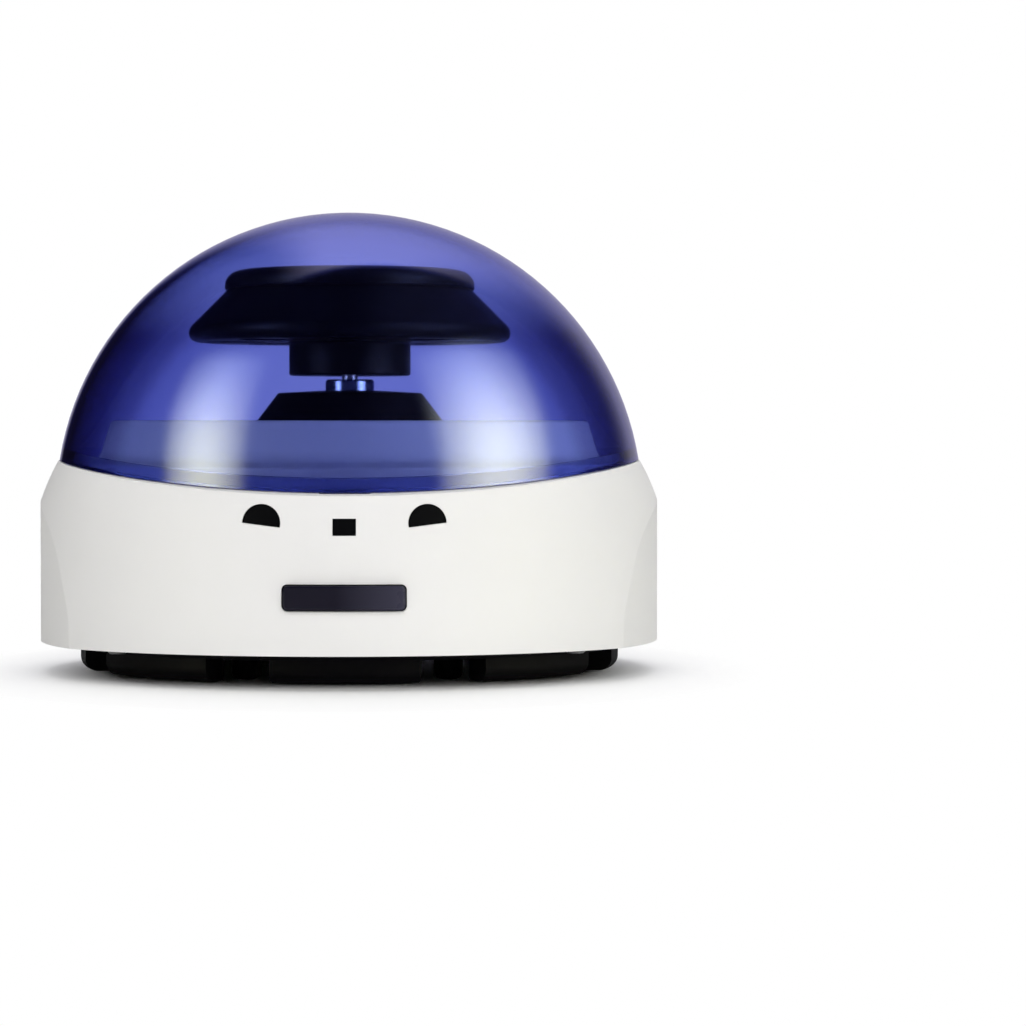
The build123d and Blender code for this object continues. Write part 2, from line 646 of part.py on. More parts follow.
def base_screw(angle):
    """Pan-head screw that holds the base to a post of the shell."""
    head = disc(SCREW_HEAD_RADIUS, BASE_RING_Z - SCREW_HEAD_HEIGHT, BASE_RING_Z)
    head = chamfer(head.edges().sort_by(Axis.Z)[0], SCREW_HEAD_HEIGHT * 0.5)
    shank = disc(SCREW_RADIUS, BASE_RING_Z, BASE_RING_Z + SCREW_LENGTH)
    return Rot(0, 0, angle) * Pos(POST_CIRCLE_RADIUS, 0, 0) * (head + shank)


def motor_can():
    """Steel can of the motor with its bearing boss and the bore the shaft turns in."""
    can = disc(MOTOR_RADIUS, MOTOR_BOTTOM_Z, MOTOR_TOP_Z)
    can = chamfer(can.edges().sort_by(Axis.Z)[-1], MOTOR_EDGE)
    boss = disc(MOTOR_BOSS_RADIUS, MOTOR_TOP_Z, MOTOR_TOP_Z + MOTOR_BOSS_HEIGHT)
    bore = disc(SHAFT_RADIUS + PIN_CLEARANCE, MOTOR_TOP_Z - MOTOR_BORE_DEPTH, FAR)
    return can + boss - bore


def motor_end_cap():
    """Moulded cap with two terminals under the motor can."""
    low = MOTOR_BOTTOM_Z - MOTOR_CAP_HEIGHT
    cap = disc(MOTOR_RADIUS - MOTOR_CAP_INSET, low, MOTOR_BOTTOM_Z)
    terminal = Box(TERMINAL_THICKNESS, TERMINAL_WIDTH, TERMINAL_LENGTH)
    for side in (-1, 1):
        cap += Pos(side * TERMINAL_SPREAD, 0, low - TERMINAL_LENGTH / 2) * terminal
    return cap


def motor_plate():
    """Plate that the motor hangs from, on rubber dampers below the deck."""
    plate = disc(MOTOR_PLATE_RADIUS, MOTOR_TOP_Z, MOTOR_PLATE_TOP_Z)
    return plate - disc(MOTOR_BOSS_RADIUS + 2 * SEAT_GAP, MOTOR_TOP_Z, MOTOR_PLATE_TOP_Z)


def motor_damper(number):
    """Waisted rubber damper between the motor plate and the deck."""
    middle = (MOTOR_PLATE_TOP_Z + DECK_BOTTOM_Z) / 2
    side = ThreePointArc(
        (DAMPER_RADIUS, MOTOR_PLATE_TOP_Z), (DAMPER_WAIST, middle), (DAMPER_RADIUS, DECK_BOTTOM_Z)
    )
    rest = Polyline(
        (DAMPER_RADIUS, DECK_BOTTOM_Z),
        (0, DECK_BOTTOM_Z),
        (0, MOTOR_PLATE_TOP_Z),
        (DAMPER_RADIUS, MOTOR_PLATE_TOP_Z),
    )
    place = Rot(0, 0, 90 + number * 360 / DAMPER_COUNT)
    place *= Pos(MOTOR_PLATE_RADIUS - DAMPER_RADIUS - DAMPER_EDGE_GAP, 0, 0)
    return place * turned(make_face(side + rest))


def control_board():
    """Circuit board on four posts behind the motor."""
    board = Box(BOARD_WIDTH, BOARD_DEPTH, BOARD_THICKNESS)
    return Pos(0, BOARD_Y, BOARD_Z + BOARD_THICKNESS / 2) * board


def board_capacitor():
    """Upright capacitor on the board."""
    low = BOARD_Z + BOARD_THICKNESS
    can = disc(CAPACITOR_RADIUS, low, low + CAPACITOR_HEIGHT)
    can = chamfer(can.edges().sort_by(Axis.Z)[-1], CAPACITOR_EDGE)
    return Pos(-BOARD_WIDTH / 4, BOARD_Y, 0) * can


def board_regulator():
    """Finned regulator on the board."""
    low = BOARD_Z + BOARD_THICKNESS
    middle = BOARD_WIDTH / 4
    half = REGULATOR_WIDTH / 2
    body = block(
        (middle - half, middle + half),
        (BOARD_Y - REGULATOR_DEPTH / 2, BOARD_Y + REGULATOR_DEPTH / 2),
        (low, low + REGULATOR_HEIGHT),
    )
    back = BOARD_Y + REGULATOR_DEPTH / 2 - REGULATOR_BACK
    first = middle - (FIN_GAP_COUNT * FIN_GAP + (FIN_GAP_COUNT - 1) * FIN_THICKNESS) / 2
    for number in range(FIN_GAP_COUNT):
        x = first + number * (FIN_GAP + FIN_THICKNESS)
        body -= block((x, x + FIN_GAP), (back - FAR, back), (low + REGULATOR_FOOT, FAR))
    return body


def dc_jack():
    """Round power inlet with a flange outside the panel and a centre pin."""
    mouth = PANEL_Y + JACK_FLANGE
    barrel = rod_y(JACK_RADIUS, PANEL_Y - JACK_LENGTH, mouth, JACK_X, PANEL_CENTRE_Z)
    flange = rod_y(JACK_FLANGE_RADIUS, PANEL_Y, mouth, JACK_X, PANEL_CENTRE_Z)
    flange = chamfer(flange.edges().sort_by(Axis.Y)[-1], EDGE_BREAK)
    bottom = mouth - JACK_BORE_DEPTH
    bore = rod_y(JACK_BORE_RADIUS, bottom, mouth, JACK_X, PANEL_CENTRE_Z)
    pin = rod_y(JACK_PIN_RADIUS, bottom, mouth - JACK_PIN_SETBACK, JACK_X, PANEL_CENTRE_Z)
    return barrel + flange - bore + pin


def dc_jack_nut():
    """Six-sided nut that clamps the inlet from inside."""
    face = Pos(JACK_X, PANEL_CENTRE_Z) * (
        RegularPolygon(JACK_NUT_RADIUS, 6) - Circle(JACK_RADIUS + FIXED_CLEARANCE)
    )
    back = PANEL_Y - SHELL_WALL
    return Pos(0, back, 0) * extrude(Plane.XZ * face, JACK_NUT_THICKNESS)


def rocker_frame():
    """Bezel and body of the rocker switch, with the pocket that the key tilts in."""
    half_wide, half_high = ROCKER_FRAME_WIDTH / 2, ROCKER_FRAME_HEIGHT / 2
    wide = (ROCKER_X - half_wide, ROCKER_X + half_wide)
    high = (PANEL_CENTRE_Z - half_high, PANEL_CENTRE_Z + half_high)
    bezel = block(wide, (PANEL_Y, PANEL_Y + ROCKER_FRAME_PROUD), high)
    bezel = chamfer(bezel.faces().sort_by(Axis.Y)[-1].edges(), EDGE_BREAK)
    body = block(*rocker_limits(0), z=rocker_heights(0))
    pocket_wide = ROCKER_HALF_LENGTH + ROCKER_CLEARANCE
    pocket_high = ROCKER_HEIGHT / 2 + MOVING_GAP
    pocket = block(
        (ROCKER_X - pocket_wide, ROCKER_X + pocket_wide),
        (ROCKER_PIVOT_Y - ROCKER_BELOW - ROCKER_POCKET_GAP, FAR),
        (PANEL_CENTRE_Z - pocket_high, PANEL_CENTRE_Z + pocket_high),
    )
    pin_reach = pocket_high + ROCKER_PIN_LENGTH + ROCKER_PIN_END_GAP
    holes = disc(
        ROCKER_PIN_RADIUS + PIN_CLEARANCE, PANEL_CENTRE_Z - pin_reach, PANEL_CENTRE_Z + pin_reach
    )
    return bezel + body - pocket - Pos(ROCKER_X, ROCKER_PIVOT_Y, 0) * holes


def rocker_key():
    """Tilting key of the power switch, with its end nearer the hinge's middle pressed in."""
    half = ROCKER_HALF_LENGTH
    top = Polyline(
        (-half, 0),
        (-half, ROCKER_END_THICKNESS),
        (0, ROCKER_MID_THICKNESS),
        (half, ROCKER_END_THICKNESS),
        (half, 0),
    )
    belly = ThreePointArc((half, 0), (0, -ROCKER_BELOW), (-half, 0))
    key = extrude(make_face(top + belly), ROCKER_HEIGHT / 2, both=True)
    pin = Cylinder(ROCKER_PIN_RADIUS, ROCKER_HEIGHT + 2 * (MOVING_GAP + ROCKER_PIN_LENGTH))
    place = Pos(ROCKER_X, ROCKER_PIVOT_Y, PANEL_CENTRE_Z) * Rot(0, 0, -ROCKER_TILT)
    return place * (key + pin)


def lid_dome():
    """Clear dome with its rim, hinge arm, knuckle and the stop that limits its opening."""
    place = Pos(0, 0, LID_CENTRE_Z)
    ball = place * (Sphere(LID_RADIUS) - Sphere(LID_RADIUS - LID_WALL))
    rim = ring(LID_RADIUS - LID_WALL / 2, LID_RIM_INNER_RADIUS, 0, FAR) & below_seam(LID_RIM_HEIGHT)
    rim &= place * Sphere(LID_RADIUS - LID_WALL / 2)
    low = HINGE_Z - KNUCKLE_RADIUS / 4
    start = LID_RIM_INNER_RADIUS - LID_WALL
    arm = across(
        face_of(
            (
                (start, low, 0),
                (HINGE_Y, low, 0),
                (HINGE_Y, HINGE_Z + KNUCKLE_RADIUS, 0),
                (start, low + HINGE_ARM_HEIGHT, 0),
            )
        ),
        -KNUCKLE_HALF_WIDTH,
        KNUCKLE_HALF_WIDTH,
    )
    arm -= disc(LID_RIM_INNER_RADIUS + SEAT_GAP, 0, FAR)
    knuckle = rod_x(KNUCKLE_RADIUS, -KNUCKLE_HALF_WIDTH, KNUCKLE_HALF_WIDTH, HINGE_Y, HINGE_Z)
    lid = ball + rim + arm + knuckle + lid_stop()
    lid -= below_seam(MOVING_GAP)
    bore = rod_x(HINGE_PIN_RADIUS + PIN_CLEARANCE, -FAR, FAR, HINGE_Y, HINGE_Z)
    return lid - bore


def lid_stop():
    """Tooth on the knuckle that meets the stop block when the lid is fully open."""
    points = []
    root = (HINGE_PIN_RADIUS + KNUCKLE_RADIUS) / 2
    for radius, angle in (
        (root, HINGE_STOP_START),
        (HINGE_STOP_RADIUS, HINGE_STOP_START),
        (HINGE_STOP_RADIUS, HINGE_STOP_END),
        (root, HINGE_STOP_END),
    ):
        turn = math.radians(angle)
        points.append((HINGE_Y + radius * math.cos(turn), HINGE_Z + radius * math.sin(turn)))
    face = make_face(Polyline(*points, close=True))
    return across(face, -KNUCKLE_HALF_WIDTH, KNUCKLE_HALF_WIDTH)


def lid_hook():
    """Hook under the lid's front rim that the latch holds."""
    top = SEAM_CREST_Z
    face = face_of(
        (
            (HOOK_FRONT_Y, top, 0),
            (HOOK_FRONT_Y, HOOK_TIP_Z + HOOK_THICKNESS / 2, 0.5),
            (HOOK_FRONT_Y + HOOK_THICKNESS / 2, HOOK_TIP_Z, 0.3),
            (HOOK_BACK_Y, HOOK_TIP_Z, 0.3),
            (BARB_TIP_Y, HOOK_BARB_Z - HOOK_BARB_DEPTH, 0.2),
            (BARB_TIP_Y, HOOK_BARB_Z, 0),
            (HOOK_BACK_Y, HOOK_BARB_Z, 0),
            (HOOK_BACK_Y, top, 0),
        )
    )
    hook = across(face, -HOOK_WIDTH / 2, HOOK_WIDTH / 2) & below_seam(MOVING_GAP)
    pocket = MAGNET_RADIUS + FIXED_CLEARANCE
    height = HOOK_BARB_Z + MAGNET_HEIGHT
    return hook - rod_y(pocket, HOOK_BACK_Y - MAGNET_THICKNESS, FAR, 0, height)


def lid_magnet():
    """Small magnet let into the hook for the lid sensor."""
    height = HOOK_BARB_Z + MAGNET_HEIGHT
    return rod_y(MAGNET_RADIUS, HOOK_BACK_Y - MAGNET_THICKNESS, HOOK_BACK_Y, 0, height)


def lid_sensor():
    """Flat sensor on the shell's wall in front of the hook."""
    top = LINER_SKIRT_BOTTOM_Z - LINER_SEAT_THICKNESS - SEAT_GAP
    return block(
        (-SENSOR_WIDTH / 2, SENSOR_WIDTH / 2),
        (SENSOR_BACK_Y - SENSOR_THICKNESS, SENSOR_BACK_Y),
        (top - SENSOR_HEIGHT, top),
    )


def release_button():
    """Long front button with a flange behind the shell that keeps it in."""
    inner = BUTTON_FLANGE_RADIUS - BUTTON_FLANGE_THICKNESS
    face = through_front(button_face(0)) & ring(BUTTON_FACE_RADIUS, inner, 0, FAR)
    face = chamfer(face.faces().sort_by(Axis.Y)[0].edges(), BUTTON_EDGE)
    flange = through_front(button_face(BUTTON_FLANGE_LAP)) & ring(BUTTON_FLANGE_RADIUS, inner, 0, FAR)
    button = face + flange
    for side in (-1, 1):
        start = BUTTON_FLANGE_THICKNESS / 3 - BUTTON_FLANGE_RADIUS
        stem = rod_y(BUTTON_STEM_RADIUS, start, SLIDER_FRONT_Y, side * BUTTON_STEM_SPREAD, BUTTON_Z)
        button += stem
    return button


def latch_slider():
    """Frame round the hook that the button pushes inwards to free the hook's barb."""
    half = SLIDER_HALF_GAP + SLIDER_ARM_WIDTH
    bar_z = (BUTTON_Z - SLIDER_BAR_HEIGHT / 2, BUTTON_Z + SLIDER_BAR_HEIGHT / 2)
    top = CATCH_BOTTOM_Z + CATCH_HEIGHT
    slider = block((-half, half), (SLIDER_FRONT_Y, SLIDER_BACK_Y), bar_z)
    arm_face = face_of(
        (
            (SLIDER_FRONT_Y, bar_z[0], 0),
            (SLIDER_FRONT_Y, top, 1.0),
            (CATCH_Y + CATCH_THICKNESS, top, 0),
            (CATCH_Y + CATCH_THICKNESS, CATCH_BOTTOM_Z, 0),
            (SLIDER_BACK_Y, CATCH_BOTTOM_Z, 1.5),
            (SLIDER_BACK_Y, bar_z[0], 0),
        )
    )
    for side in (-1, 1):
        low = side * (SLIDER_HALF_GAP + SLIDER_ARM_WIDTH / 2) - SLIDER_ARM_WIDTH / 2
        slider += across(arm_face, low, low + SLIDER_ARM_WIDTH)
        runner_deep = (SLIDER_BACK_Y, SPRING_SEAT_Y - RELEASE_TRAVEL - MOVING_GAP)
        runner_high = (bar_z[0], bar_z[0] + SLIDER_RUNNER_HEIGHT)
        slider += block((low, low + SLIDER_ARM_WIDTH), runner_deep, runner_high)
    catch = face_of(
        (
            (CATCH_Y, CATCH_BOTTOM_Z, 0),
            (CATCH_Y + CATCH_THICKNESS, CATCH_BOTTOM_Z, 0),
            (CATCH_Y + CATCH_THICKNESS, top, 0),
            (CATCH_Y + CATCH_THICKNESS * 2 / 3, top, 0),
            (CATCH_Y, CATCH_BOTTOM_Z + CATCH_HEIGHT / 3, 0),
        )
    )
    return slider + across(catch, -half, half)


def latch_guide():
    """Cradle on the base that guides the slider's runners and seats the spring."""
    low = BASE_RING_TOP_Z
    floor_top = BUTTON_Z - SLIDER_BAR_HEIGHT / 2 - MOVING_GAP
    half = SLIDER_HALF_GAP + SLIDER_ARM_WIDTH + MOVING_GAP
    outer = half + GUIDE_CHEEK
    arch = half - GUIDE_WALL
    back = SPRING_SEAT_Y + GUIDE_WALL
    floor_deep = (SLIDER_BACK_Y + RELEASE_TRAVEL - GUIDE_LAP, back)
    guide = block((-outer, outer), floor_deep, (low, floor_top))
    guide -= block((-arch, arch), floor_deep, (low, floor_top - GUIDE_WALL))
    wall_top = BUTTON_Z + SPRING_RADIUS + SHELL_WALL / 2
    guide += block((-outer, outer), (SPRING_SEAT_Y, back), (low, wall_top))
    for cheek in ((half, outer), (-outer, -half)):
        guide += block(cheek, floor_deep, (low, floor_top + SLIDER_RUNNER_HEIGHT))
    return guide


def latch_spring():
    """Spring between the guide's wall and the slider's bar."""
    spring = rod_y(SPRING_RADIUS, SLIDER_BACK_Y, SPRING_SEAT_Y, 0, BUTTON_Z)
    return spring - rod_y(SPRING_RADIUS - SPRING_WALL, SLIDER_BACK_Y, SPRING_SEAT_Y, 0, BUTTON_Z)


def rotor():
    """Black rotor: hub, flat underside, rounded nose, cone, lip and eight slanted tube holes."""
    bore = INSERT_RADIUS + FIXED_CLEARANCE
    half_nose = ROTOR_NOSE / 2
    face = face_of(
        (
            (bore, HUB_BOTTOM_Z, 0),
            (HUB_RADIUS, HUB_BOTTOM_Z, 0.6),
            (HUB_RADIUS, ROTOR_UNDERSIDE_Z, 0.8),
            (ROTOR_RADIUS, ROTOR_UNDERSIDE_Z, ROTOR_NOSE - 0.2),
            (ROTOR_RADIUS, ROTOR_UNDERSIDE_Z + ROTOR_NOSE + half_nose, ROTOR_NOSE),
            (ROTOR_LIP_RADIUS - ROTOR_LIP_OVERHANG, ROTOR_LIP_Z, 0),
            (ROTOR_LIP_RADIUS, ROTOR_LIP_Z, 0.3),
            (ROTOR_LIP_RADIUS, ROTOR_TOP_Z, ROTOR_LIP_ROUND),
            (ROTOR_TOP_INNER_RADIUS, ROTOR_TOP_Z, 0.6),
            (ROTOR_PLATFORM_RADIUS, PLATFORM_Z, 1.0),
            (bore, PLATFORM_Z, 0),
        )
    )
    body = turned(face)
    seat = Pos(TUBE_SEAT_RADIUS, 0, TUBE_SEAT_Z) * Rot(0, -TUBE_ANGLE, 0)
    hole = seat * Cylinder(TUBE_HOLE_RADIUS, 2 * ROTOR_RADIUS)
    for number in range(TUBE_COUNT):
        body -= Rot(0, 0, number * 360 / TUBE_COUNT) * hole
    return body


def rotor_insert():
    """Metal sleeve that the rotor grips the shaft with."""
    sleeve = disc(INSERT_RADIUS, INSERT_BOTTOM_Z, INSERT_TOP_Z)
    sleeve = chamfer(sleeve.edges().sort_by(Axis.Z)[-1], EDGE_BREAK)
    return sleeve - disc(SHAFT_RADIUS + FIXED_CLEARANCE, 0, INSERT_TOP_Z - INSERT_CAP)


def motor_shaft():
    """Ground shaft from the motor up into the rotor."""
    low = MOTOR_TOP_Z - MOTOR_BORE_DEPTH + SHAFT_END_GAP
    shaft = disc(SHAFT_RADIUS, low, INSERT_TOP_Z - INSERT_CAP - SHAFT_END_GAP)
    return chamfer(shaft.edges().sort_by(Axis.Z)[-1], EDGE_BREAK)


def drive_collar():
    """Bright collar on the shaft below the rotor."""
    collar = disc(COLLAR_RADIUS, COLLAR_TOP_Z - COLLAR_HEIGHT, COLLAR_TOP_Z)
    collar = chamfer(collar.edges(), EDGE_BREAK)
    return collar - disc(SHAFT_RADIUS + FIXED_CLEARANCE, 0, FAR)


def hinge_pin():
    """Steel pin through the lugs and the lid's knuckle."""
    reach = KNUCKLE_HALF_WIDTH + MOVING_GAP + HINGE_LUG_WIDTH + HINGE_PIN_END
    return rod_x(HINGE_PIN_RADIUS, -reach, reach, HINGE_Y, HINGE_Z)


nodes = {
    "upper_housing": upper_housing(),
    "chamber_liner": chamber_liner(),
    "motor_cover": motor_cover(),
    "base_plate": base_plate(),
    "window_left": front_insert(half_disc(-1, SEAT_GAP)),
    "window_right": front_insert(half_disc(1, SEAT_GAP)),
    "indicator_window": front_insert(indicator_face(SEAT_GAP)),
    "motor_can": motor_can(),
    "motor_end_cap": motor_end_cap(),
    "motor_plate": motor_plate(),
    "control_board": control_board(),
    "board_capacitor": board_capacitor(),
    "board_regulator": board_regulator(),
    "dc_jack": dc_jack(),
    "dc_jack_nut": dc_jack_nut(),
    "rocker_frame": rocker_frame(),
    "rocker_key": rocker_key(),
    "hinge_pin": hinge_pin(),
    "lid_dome": lid_dome(),
    "lid_hook": lid_hook(),
    "lid_magnet": lid_magnet(),
    "lid_sensor": lid_sensor(),
    "release_button": release_button(),
    "latch_slider": latch_slider(),
    "latch_guide": latch_guide(),
    "latch_spring": latch_spring(),
    "rotor": rotor(),
    "rotor_insert": rotor_insert(),
    "motor_shaft": motor_shaft(),
    "drive_collar": drive_collar(),
}
for number in range(DAMPER_COUNT):
    nodes[f"motor_damper_{number + 1}"] = motor_damper(number)
for number, angle in enumerate(POST_ANGLES):
    nodes[f"base_screw_{number + 1}"] = base_screw(angle)
for number, (x, y) in enumerate(((-1, -1), (1, -1), (-1, 1), (1, 1))):
    nodes[f"foot_{number + 1}"] = rubber_foot(x * FOOT_X, y * FOOT_Y)

os.makedirs("parts", exist_ok=True)
for name, solid in nodes.items():
    export_step(solid, f"parts/{name}.step")
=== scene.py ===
"""Mini centrifuge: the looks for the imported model, its floor, light and camera."""

import json
import math

import bmesh
import bpy
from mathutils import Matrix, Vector

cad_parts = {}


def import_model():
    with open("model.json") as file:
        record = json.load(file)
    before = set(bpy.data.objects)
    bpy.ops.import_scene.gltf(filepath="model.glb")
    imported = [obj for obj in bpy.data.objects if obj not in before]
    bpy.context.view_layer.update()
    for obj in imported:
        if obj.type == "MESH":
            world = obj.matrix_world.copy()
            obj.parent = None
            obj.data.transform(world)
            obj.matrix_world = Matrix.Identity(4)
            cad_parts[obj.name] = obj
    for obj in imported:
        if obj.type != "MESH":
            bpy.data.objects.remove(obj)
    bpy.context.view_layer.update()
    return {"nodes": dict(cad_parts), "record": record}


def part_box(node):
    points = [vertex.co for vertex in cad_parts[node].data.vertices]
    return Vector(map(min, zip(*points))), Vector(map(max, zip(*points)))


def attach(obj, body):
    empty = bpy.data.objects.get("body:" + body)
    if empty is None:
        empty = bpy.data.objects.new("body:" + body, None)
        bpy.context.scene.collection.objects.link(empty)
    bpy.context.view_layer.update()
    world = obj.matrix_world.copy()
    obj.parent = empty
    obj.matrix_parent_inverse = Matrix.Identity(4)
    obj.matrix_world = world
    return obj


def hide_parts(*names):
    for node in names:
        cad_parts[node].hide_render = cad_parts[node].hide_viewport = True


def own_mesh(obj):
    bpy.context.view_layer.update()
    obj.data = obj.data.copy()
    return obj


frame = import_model()
nodes = frame["nodes"]

WHITE = (1.0, 1.0, 1.0)

# The photograph's view: its width and lens in pixels, how far left of its middle the object stands, and
# the eye's distance, height and turns
PHOTO_WIDTH = 1026
LENS_PIXELS = 3955
OBJECT_LEFT_PIXELS = 163
DISTANCE = 1.0
EYE_HEIGHT = 0.0625
VIEW_AZIMUTH = math.radians(1.0)
LOOK_DOWN = math.radians(1.33)
LOOK_RIGHT = math.atan(OBJECT_LEFT_PIXELS / LENS_PIXELS)
SENSOR = 36.0

# Moulded plastic: cells a metre of its uneven tone, its uneven gloss and its faint waves, how far the
# gloss varies, and the waves' depth
PLASTIC_SHADE = 35.0
PLASTIC_GLOSS = 140.0
PLASTIC_GLOSS_VARY = 0.12
PLASTIC_WAVES = 90.0
PLASTIC_WAVE_DEPTH = 0.00002
PLASTIC_IOR = 1.5

# Metal: cells a metre of its uneven tone and of its marks, its darkest tone and its range of roughness as
# shares of the given ones, and the marks' depth
METAL_SHADE = 160.0
METAL_MARKS = 900.0
METAL_DARK = 0.9
METAL_ROUGH = (0.8, 1.25)
METAL_MARK_DEPTH = 0.000004

# The button's plastic at its dark end and at its paler end, which is a painted sheen of light, and where one
# turns to the other, from the middle
BUTTON_DARK = (0.006, 0.005, 0.014)
BUTTON_PAINTED_SHEEN = (0.038, 0.036, 0.062)
BUTTON_SHEEN_TURN = (-0.002, 0.014)

# The dome's plastic: what its thickness takes up, how it darkens from facing the eye to edge on, between
# which heights that darkening ends at the crown as a painted top light, as if lit from above, and its faint
# waves
DOME_TINT = (0.04, 0.16, 0.79)
DOME_DENSITY = 440.0
DOME_STEPS = (
    (0.18, (0.88, 0.88, 0.96)),
    (0.35, (0.58, 0.58, 0.76)),
    (0.46, (0.26, 0.25, 0.42)),
    (0.62, (0.10, 0.085, 0.22)),
    (0.82, (0.07, 0.05, 0.13)),
)
DOME_PAINTED_TOP_LIGHT = (0.084, 0.100)
DOME_IOR = 1.46
DOME_ROUGH = 0.04
DOME_WAVES = 18.0
DOME_WAVE_DEPTH = 0.00003

# The circuit board: its two greens, and how dense, bent, sharp and raised its tracks are
MASK_DARK = (0.012, 0.10, 0.045)
MASK_LIGHT = (0.02, 0.17, 0.07)
MASK_ROUGH = 0.28
TRACK_CELLS = 90.0
TRACK_BEND = 6.0
TRACK_EDGE = (0.55, 0.6)
TRACK_DEPTH = 0.00003

# The latch's spring: thickness of its wire, its turns, those that lie flat at each end, and its facets
SPRING_WIRE = 0.0006
SPRING_TURNS = 6.5
SPRING_FLAT_TURNS = 1.0
SPRING_STEPS = 28
WIRE_SIDES = 12

# The floor's size and two tones, and where it turns from lit to plain white, over an oval that is
# narrower to the sides
FLOOR_SIZE = 30.0
FLOOR_DARK = (0.93, 0.93, 0.93)
FLOOR_LIGHT = (0.95, 0.95, 0.95)
FLOOR_CELLS = 3.0
FLOOR_ROUGH = 0.5
FLOOR_GLOSS = 0.2
FLOOR_WHITE = (0.09, 0.155)
FLOOR_OVAL = (1.5, 1.0, 1.0)

# Light from all round on matt surfaces, which is weak at the far left
AROUND_DARK = (0.03, 0.03, 0.03)
AROUND_TONE = (0.30, 0.30, 0.30)
AROUND_LEFT = (-0.90, -0.40)

# What gloss shows: a tall pale wall behind, brighter high up. Its edges are smooth steps over the parts
# of a direction; the right one leans with the height, and the top one with the side. A round stretch
# straight behind is always wall. All else is a dark room that is a little paler to the right
WALL_LOW = (0.44, 0.42, 0.60)
WALL_HIGH = (1.20, 1.12, 1.50)
WALL_RISE = (0.55, 0.92)
WALL_LEFT = (-0.30, -0.08)
WALL_RIGHT = (0.78, 0.44)
WALL_RIGHT_LEAN = 0.3
WALL_TOP = (0.28, 0.34)
WALL_TOP_LEAN = -0.35
WALL_BACK = (0.93, 0.99)
ROOM_DARK = (0.012, 0.010, 0.035)
ROOM_PALE = (0.05, 0.05, 0.10)
ROOM_RIGHT = (0.0, 0.3)

# All lamps: the height they face, and the power that gives a level of 1 from 1 m away
LAMP_AIM = 0.06
LAMP_POWER = 4.0
# The gloss lamps, in shares of their size: their middle, how far their brightness spreads, and where it
# ends at the sides and the top; and their tone up to half their height and at their top
LAMP_MIDDLE = 0.5
LAMP_ACROSS = 0.22
LAMP_UP = 0.32
LAMP_SIDES = (0.5, 0.3)
LAMP_TOP = (1.0, 0.85)
LAMP_LOW = (1.0, 1.02, 0.63)
LAMP_HIGH = (0.70, 0.84, 1.07)


def new_material(name):
    """Material with a Principled shader, with the parts that the helpers below need."""
    material = bpy.data.materials.new(name)
    material.use_nodes = True
    tree = material.node_tree
    tree.nodes.clear()
    output = tree.nodes.new("ShaderNodeOutputMaterial")
    shader = tree.nodes.new("ShaderNodeBsdfPrincipled")
    tree.links.new(shader.outputs["BSDF"], output.inputs["Surface"])
    return material, tree, shader, output


def object_place(tree):
    """Texture coordinates in metres that stay on the piece."""
    return tree.nodes.new("ShaderNodeTexCoord").outputs["Object"]


def parts_of(tree, vector):
    """The three parts of a vector."""
    node = tree.nodes.new("ShaderNodeSeparateXYZ")
    tree.links.new(vector, node.inputs["Vector"])
    return (node.outputs[name] for name in "XYZ")


def noise(tree, scale, detail=3.0, roughness=0.5, stretch=None):
    """Noise from 0 to 1 at so many cells a metre."""
    node = tree.nodes.new("ShaderNodeTexNoise")
    node.inputs["Scale"].default_value = scale
    node.inputs["Detail"].default_value = detail
    node.inputs["Roughness"].default_value = roughness
    place = object_place(tree)
    if stretch:
        mapping = tree.nodes.new("ShaderNodeMapping")
        mapping.inputs["Scale"].default_value = stretch
        tree.links.new(place, mapping.inputs["Vector"])
        place = mapping.outputs["Vector"]
    tree.links.new(place, node.inputs["Vector"])
    return node.outputs["Fac"]


def spread(tree, value, low, high, start=0.3, end=0.7):
    """The value, taken from start and end to low and high."""
    node = tree.nodes.new("ShaderNodeMapRange")
    node.inputs["From Min"].default_value = start
    node.inputs["From Max"].default_value = end
    node.inputs["To Min"].default_value = low
    node.inputs["To Max"].default_value = high
    tree.links.new(value, node.inputs["Value"])
    return node.outputs["Result"]


def soft(tree, value, edge):
    """Smooth step from 0 to 1 between the two ends of an edge."""
    node = tree.nodes.new("ShaderNodeMapRange")
    node.interpolation_type = "SMOOTHSTEP"
    node.inputs["From Min"].default_value = edge[0]
    node.inputs["From Max"].default_value = edge[1]
    tree.links.new(value, node.inputs["Value"])
    return node.outputs["Result"]


def mixed(tree, factor, first, second):
    """Colour between two others, each a socket or a plain colour."""
    node = tree.nodes.new("ShaderNodeMix")
    node.data_type = "RGBA"
    tree.links.new(factor, node.inputs["Factor"])
    for name, value in (("A", first), ("B", second)):
        if isinstance(value, tuple):
            node.inputs[name].default_value = (*value, 1.0)
        else:
            tree.links.new(value, node.inputs[name])
    return node.outputs["Result"]


def math_node(tree, operation, *values):
    """Maths on sockets or plain numbers."""
    node = tree.nodes.new("ShaderNodeMath")
    node.operation = operation
    for place, value in enumerate(values):
        if isinstance(value, (int, float)):
            node.inputs[place].default_value = value
        else:
            tree.links.new(value, node.inputs[place])
    return node.outputs[0]


def bump(tree, shader, height, depth, under=None):
    """Bump of a real depth in metres on a shader."""
    node = tree.nodes.new("ShaderNodeBump")
    node.inputs["Distance"].default_value = depth
    tree.links.new(height, node.inputs["Height"])
    if under is not None:
        tree.links.new(under, node.inputs["Normal"])
    tree.links.new(node.outputs["Normal"], shader.inputs["Normal"])
    return node.outputs["Normal"]


